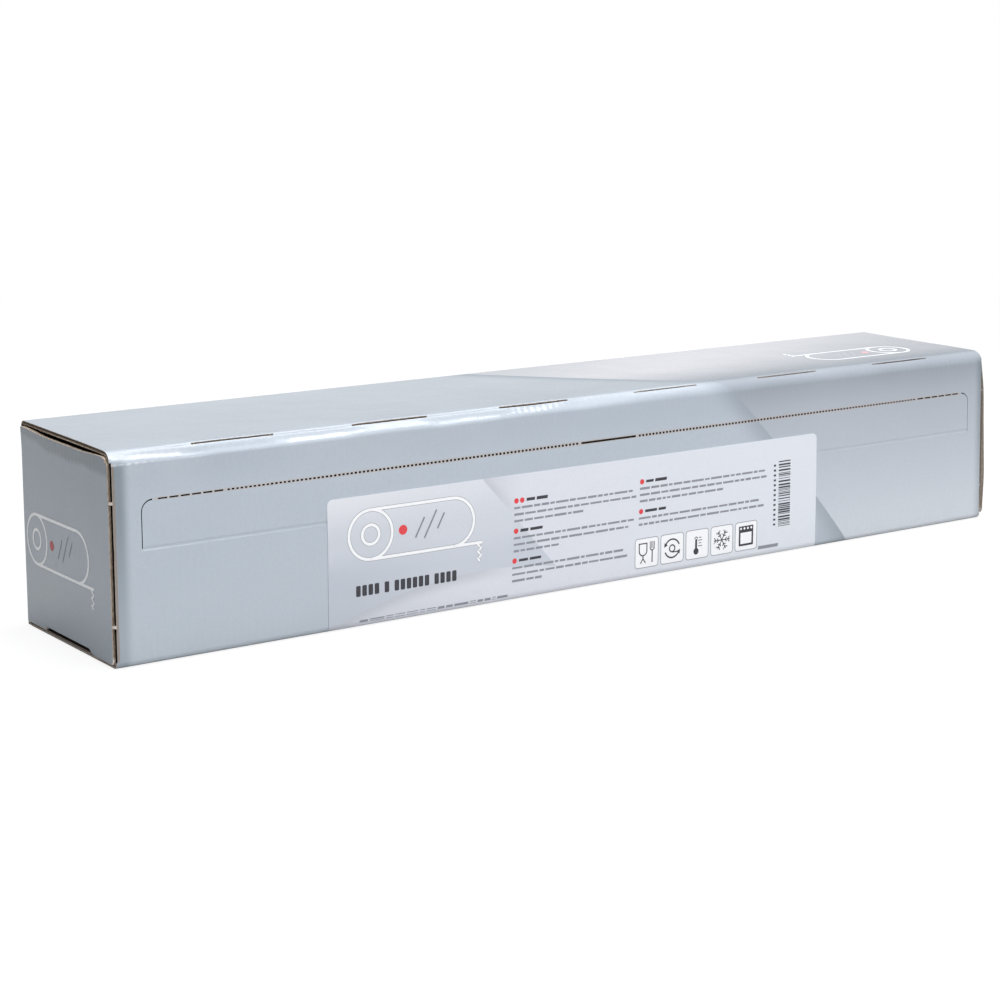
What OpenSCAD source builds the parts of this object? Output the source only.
// Long carton for a wide catering foil roll, lying closed and sealed.
// One blank of fine-fluted board wraps front, top, rear and bottom. A flap hinged
// on the front panel closes each end, and a perforated tear-off flap lies along
// the front. The pack can't be seen into, so it is one solid behind its board.
// Frame: X along the carton, front panel towards -Y, Z up, origin under its middle.

/* [Carton] */
// Overall length over both end flaps
carton_l = 458; // [300:1:700]
// Depth from the front panel to the rear panel
carton_w = 84; // [60:1:140]
// Height at the rear top fold
carton_h = 83; // [76:1:140]
// How much lower the top lies along its front fold
front_drop = 1.5; // [0:0.1:3]

/* [Board] */
// Thickness of the fine-fluted board
board_t = 1.6; // [1.2:0.1:2.2]
// Thickness of each of its two liners
liner_t = 0.3; // [0.2:0.05:0.4]
// How far the open flutes can be seen into at a raw edge
flute_depth = 0.6; // [0.5:0.1:3]

/* [Long folds] */
// Outside radius of the top front fold, which is crushed round
front_fold_r = 5.5; // [4:0.5:8]
// Outside radius of the bottom front and top rear folds
fold_r = 2.6; // [2.4:0.1:4]
// Radius of the fold that turns the glue flap up inside the rear panel
glue_fold_r = 2; // [1:0.1:3]

/* [Slits on the top front fold] */
// Length of one slit
slit_l = 35; // [15:1:45]
// Distance from one slit to the next
slit_pitch = 70; // [50:1:100]
// Distance from the left end to the first slit
slit_start = 35; // [15:1:60]
// Width of a slit
slit_w = 0.7; // [0.3:0.05:0.8]
// How far a slit lies round the fold from the top, in degrees
slit_turn = 28; // [0:1:60]

/* [End flaps] */
// How far the wrap's raw edges sit back from a flap's face
edge_in = 1.0; // [0.3:0.1:1.1]
// Gap between a flap and the panels round it
flap_gap = 0.5; // [0.3:0.1:1]
// Length of the relief cut in a flap's lower edge
relief_l = 44; // [20:1:50]
// Depth of that relief cut
relief_d = 1.4; // [0.5:0.1:3]
// Length of the slope at its front end
relief_slope = 3; // [1:0.5:10]
// Distance from the carton's front and rear to the dip in a flap's upper edge
dip_side = 7; // [5:0.5:12]
// Length of the slope at each end of that dip
dip_slope = 18; // [5:0.5:20]
// Depth of that dip
dip_d = 0.9; // [0.3:0.1:1.8]
// How much further the gap opens behind a flap
undercut = 2.5; // [1:0.5:6]
// Depth to which the gap round a flap is open
gap_depth = 8; // [4:1:20]
// How far the right flap stands out at its foot
flap_lean = 2.5; // [0:0.5:4]

/* [Cut crease at the end flaps] */
// Height of one of the two bridges left uncut
bridge_w = 0.9; // [0.8:0.1:3]
// Height of the lower bridge above the bottom
bridge_low = 16; // [8:1:25]
// Distance of the upper bridge below the front's top
bridge_high = 19; // [12:1:30]
// How deep the flutes gape in the cut
hinge_gape = 0.2; // [0.1:0.05:1]

/* [Tear-off flap] */
// Distance of the tear line below the front's top
tear_below = 19; // [14:0.5:26]
// Height of the tear-off flap, down to its crease
tear_h = 18.3; // [12:0.5:26]
// Distance of each side cut from the carton's end
tear_side = 12.5; // [8:0.5:25]
// Radius of the flap's upper corners
tear_r = 4.5; // [2.5:0.5:6]
// Width of every cut in the board
cut_w = 0.55; // [0.4:0.05:0.8]
// Length of the finger cut in the middle
finger_l = 29; // [15:1:45]

/* [Perforation] */
// Number of long dashes at each end of the tear line
dash_n = 6; // [2:1:10]
// Length of a long dash
dash_l = 3.7; // [2:0.1:4]
// Distance from one long dash to the next
dash_pitch = 4.65; // [4.5:0.05:6]
// Distance from a corner arc to the first long dash
dash_start = 2.4; // [1:0.1:5]
// Length of a fine nick
nick_l = 1.05; // [0.6:0.05:1.4]
// Distance from one fine nick to the next
nick_pitch = 1.86; // [1.7:0.02:4]

/* [Crease of the tear-off flap] */
// Width of the pressed crease
crease_w = 1.6; // [1:0.1:2.4]
// Depth of the pressed crease
crease_d = 0.3; // [0.15:0.05:0.5]

/* [Label] */
// Length of the paper label
label_l = 256.5; // [120:0.5:280]
// Height of the label's upper edge above the bottom
label_top = 53; // [30:0.5:62]
// Distance of the label's left edge from the carton's left end
label_start = 91; // [20:0.5:120]
// Radius of the label's upper corners
label_r = 2.5; // [1:0.5:6]
// Thickness of the label
label_t = 0.2; // [0.15:0.05:0.4]
// Height at which the label ends on the bottom fold
label_foot = 0.5; // [0.3:0.1:2]

/* [Hidden] */
$fn = 64;

// Reach of a cutting shape past the surface that it opens
over = 1;
// Smallest radius left where a fold's radius is used up by the board
sharp_r = 0.2;
// How far a bridge stays inside the outer faces
bridge_in = 0.1;
// Radius of the dark line pressed into the inner corner of the hinge
hinge_line_r = 0.4;
// How far below the top the hinge ends, as a share of the front fold's radius
hinge_end_share = 0.65;

// The wrap ends short of the right flap's foot, which leans out
left_x = -carton_l / 2;
right_x = carton_l / 2 - flap_lean;
wrap_l = right_x - left_x;
front_y = -carton_w / 2;
rear_y = carton_w / 2;
front_h = carton_h - front_drop;

// The hinge of an end flap runs between the two front folds
hinge_low = fold_r;
hinge_high = front_h - front_fold_r * hinge_end_share;
hinge_y = front_y + board_t;

tear_z = front_h - tear_below;
crease_z = tear_z - tear_h;
tear_half = carton_l / 2 - tear_side;
dash_x = tear_half - tear_r - dash_start;
nick_x = dash_x - dash_n * dash_pitch;
nick_n = floor((nick_x - finger_l / 2) / nick_pitch);
slit_n = floor((wrap_l - slit_start - over) / slit_pitch + 1 - slit_l / slit_pitch);
crease_r = (crease_w * crease_w / 4 + crease_d * crease_d) / (2 * crease_d);
label_x = left_x + label_start;

// Section of the wrap: its four corners as [y, z], and the fold radius at each
corners = [[front_y, 0], [rear_y, 0], [rear_y, carton_h], [front_y, front_h]];
radii = [fold_r, sharp_r, fold_r, front_fold_r];

function unit(v) = v / norm(v);
function to_prev(i) = unit(corners[(i + 3) % 4] - corners[i]);
function to_next(i) = unit(corners[(i + 1) % 4] - corners[i]);
function half_angle(i) = acos(to_prev(i) * to_next(i)) / 2;
function inward(i) = unit(to_prev(i) + to_next(i));
function corner(i, d) = corners[i] + inward(i) * d / sin(half_angle(i));
function radius(i, d) = max(radii[i] - d, sharp_r);
function centre(i, d) = corner(i, d) + inward(i) * radius(i, d) / sin(half_angle(i));
function tangents(i, d) = [
    corner(i, d) + to_prev(i) * radius(i, d) / tan(half_angle(i)),
    corner(i, d) + to_next(i) * radius(i, d) / tan(half_angle(i))
];

// Extrudes a section drawn in [y, z] from x = 0 along the carton
module along_x(length) {
    rotate([90, 0, 90])
        linear_extrude(height = length)
            children();
}

// Section of the carton with all four sides moved in by d
module section(d = 0) {
    polygon([for (i = [0:3]) each tangents(i, d)]);
    for (i = [0:3])
        translate(centre(i, d))
            circle(r = radius(i, d));
}

// Puts its children at both ends, drawn with the flap's face at x = 0
module at_ends() {
    translate([left_x, 0, 0])
        children();
    translate([right_x, 0, 0])
        mirror([1, 0, 0])
            children();
}

// Puts its children at both ends of the tear-off flap
module at_tear_ends() {
    children();
    mirror([1, 0, 0])
        children();
}

// Outline of an end flap, with a relief in its lower edge and a dip in its upper one
module flap_outline() {
    inner = board_t + flap_gap;
    dip_half = carton_w / 2 - dip_side;
    difference() {
        union() {
            section(inner);
            translate([hinge_y, hinge_low + flap_gap])
                square([inner, hinge_high - hinge_low - flap_gap]);
        }
        translate([-relief_l / 2, inner])
            polygon([
                [0, -inner],
                [relief_l, -inner],
                [relief_l, relief_d],
                [relief_slope, relief_d],
                [0, 0]
            ]);
        translate((corner(2, inner) + corner(3, inner)) / 2)
            rotate(atan(front_drop / carton_w))
                polygon([
                    [-dip_half, over],
                    [-dip_half, 0],
                    [dip_slope - dip_half, -dip_d],
                    [dip_half - dip_slope, -dip_d],
                    [dip_half, 0],
                    [dip_half, over]
                ]);
    }
}

// An end flap, whose face can lean out towards its foot
module end_flap(lean = 0) {
    difference() {
        translate([-lean, 0, 0])
            along_x(board_t + lean)
                flap_outline();
        if (lean > 0)
            translate([0, 0, carton_h])
                rotate([0, atan(lean / (carton_h - board_t - flap_gap)), 0])
                    translate([-carton_w, -carton_w, -2 * carton_h])
                        cube([carton_w, 2 * carton_w, 3 * carton_h]);
    }
}

// The open gap round an end flap, wider behind the flap's own board
module flap_gap_cut() {
    translate([-over, 0, 0])
        along_x(board_t + over)
            difference() {
                section(board_t);
                flap_outline();
            }
    translate([board_t, 0, 0])
        along_x(gap_depth - board_t)
            difference() {
                section(board_t);
                section(board_t + undercut);
                translate([hinge_y - over, 0])
                    square([board_t + undercut + over, hinge_high]);
            }
}

// Open flutes in the raw edges of the top, rear and bottom panels
module wrap_flutes() {
    translate([edge_in - over, 0, 0])
        along_x(flute_depth + over)
            difference() {
                section(liner_t);
                section(board_t - liner_t);
                translate([front_y, hinge_low])
                    square([board_t, hinge_high - hinge_low]);
            }
}

// The cut side of a hinge: both boards show their raw edge in a square rebate
module hinge_cut() {
    height = hinge_high - hinge_low;
    open_t = board_t - 2 * liner_t;
    translate([-over, front_y - over, hinge_low])
        cube([board_t + over, board_t + over, height]);
    translate([board_t - over, front_y + liner_t, hinge_low])
        cube([hinge_gape + over, open_t, height]);
    translate([liner_t, hinge_y - over, hinge_low])
        cube([open_t, hinge_gape + over, height]);
    translate([board_t, hinge_y, hinge_low])
        cylinder(r = hinge_line_r, h = height);
}

// The two short bridges that hold a flap across its cut
module bridges() {
    for (z = [bridge_low, front_h - bridge_high])
        translate([board_t, hinge_y, z - bridge_w / 2])
            cylinder(r = board_t - bridge_in, h = bridge_w);
}

// One straight cut through the front board, from x to x + length
module front_cut(x, z, length) {
    translate([x, front_y - over, z - cut_w / 2])
        cube([length, board_t + over, cut_w]);
}

// Side cut and rounded corner of the tear-off flap
module tear_corner() {
    translate([tear_half - cut_w / 2, front_y - over, crease_z])
        cube([cut_w, board_t + over, tear_h - tear_r]);
    translate([tear_half - tear_r, front_y + board_t, tear_z - tear_r])
        rotate([90, 0, 0])
            linear_extrude(height = board_t + over)
                intersection() {
                    difference() {
                        circle(r = tear_r + cut_w / 2);
                        circle(r = tear_r - cut_w / 2);
                    }
                    square(2 * tear_r);
                }
}

// Long dashes at the end of the tear line, then fine nicks up to the finger cut
module perforation() {
    for (i = [0:dash_n - 1])
        front_cut(dash_x - i * dash_pitch - dash_l, tear_z, dash_l);
    for (i = [1:nick_n])
        front_cut(nick_x - i * nick_pitch, tear_z, nick_l);
}

module tear_line() {
    at_tear_ends() {
        tear_corner();
        perforation();
    }
    front_cut(-finger_l / 2, tear_z, finger_l);
}

// Pressed crease on which the tear-off flap would turn
module tear_crease() {
    translate([-tear_half, front_y - crease_r + crease_d, crease_z])
        rotate([0, 90, 0])
            cylinder(r = crease_r, h = 2 * tear_half);
}

// Slits cut along the top front fold
module fold_slits() {
    turn = centre(3, 0);
    for (i = [0:slit_n - 1])
        translate([left_x + slit_start + i * slit_pitch, turn[0], turn[1]])
            rotate([slit_turn, 0, 0])
                translate([0, -slit_w / 2, front_fold_r - board_t])
                    cube([slit_l, slit_w, board_t + over]);
}

// Glued seam under the rear edge: the rear panel's raw edge and the flap behind it
module seam() {
    gap_y = rear_y - board_t;
    translate([left_x, gap_y - glue_fold_r, 0])
        along_x(wrap_l)
            difference() {
                translate([0, -over])
                    square([glue_fold_r, glue_fold_r + over]);
                translate([0, glue_fold_r])
                    circle(r = glue_fold_r);
            }
    translate([left_x, gap_y + liner_t, -over])
        cube([wrap_l, board_t - 2 * liner_t, flute_depth + over]);
}

module carton() {
    color("#b4bcc8") {
        difference() {
            union() {
                difference() {
                    translate([left_x + edge_in, 0, 0])
                        along_x(wrap_l - 2 * edge_in)
                            section();
                    at_ends()
                        flap_gap_cut();
                }
                translate([left_x, 0, 0])
                    end_flap();
                translate([right_x, 0, 0])
                    mirror([1, 0, 0])
                        end_flap(flap_lean);
            }
            at_ends() {
                wrap_flutes();
                hinge_cut();
            }
            tear_line();
            tear_crease();
            fold_slits();
            seam();
        }
        at_ends()
            bridges();
    }
}

// Upright outline of the label as seen from the front
module label_outline() {
    square([label_l, label_top - label_r]);
    translate([label_r, 0])
        square([label_l - 2 * label_r, label_top]);
    for (x = [label_r, label_l - label_r])
        translate([x, label_top - label_r])
            circle(r = label_r);
}

// The label lies on the front panel and turns under with its lower fold
module label() {
    color("#e0e2ea")
        intersection() {
            translate([label_x, 0, 0])
                along_x(label_l)
                    difference() {
                        section(-label_t);
                        section();
                        translate([front_y + fold_r, -over])
                            square([carton_w, carton_h + 2 * over]);
                        translate([front_y - over, -over])
                            square([carton_w, over + label_foot]);
                    }
            translate([label_x, front_y + fold_r, 0])
                rotate([90, 0, 0])
                    linear_extrude(height = fold_r + over)
                        label_outline();
        }
}

carton();
label();
